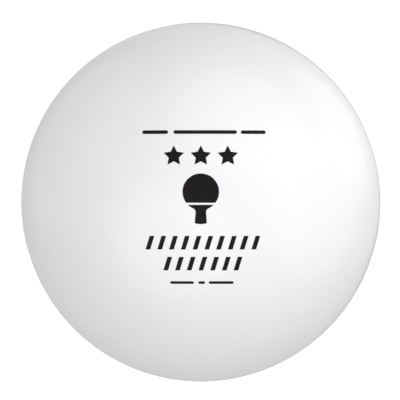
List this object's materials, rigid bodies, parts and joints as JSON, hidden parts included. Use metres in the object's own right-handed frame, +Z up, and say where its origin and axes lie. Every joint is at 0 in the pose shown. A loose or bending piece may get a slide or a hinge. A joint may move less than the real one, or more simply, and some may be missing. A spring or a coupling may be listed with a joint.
{
  "type": "table tennis ball",
  "caption": "Hollow white plastic ball in two cemented half shells with a stepped lap joint, printed on its front with stars, a bat emblem, stripes and bars.",
  "frame": {"origin": "centre of the ball", "axes": "+Z up the print, -Y out of the printed front, +X to the right of the print; the halves are turned about Y and their seam lies in the plane y = 0"},
  "size_m": [0.0402, 0.0402, 0.0402],
  "materials": {
    "ball_plastic": "matte",
    "cement": "satin",
    "ink": "satin"
  },
  "bodies": {
    "root": {"front_half_shell": "ball_plastic", "back_half_shell": "ball_plastic", "seam_cement": "cement", "star_left": "ink", "star_centre": "ink", "star_right": "ink", "bat_blade_print": "ink", "bat_grip_print": "ink", "top_line_print": "ink", "upper_bar_print": "ink", "lower_bar_print": "ink", "bottom_line_print": "ink"}
  },
  "joints": []
}
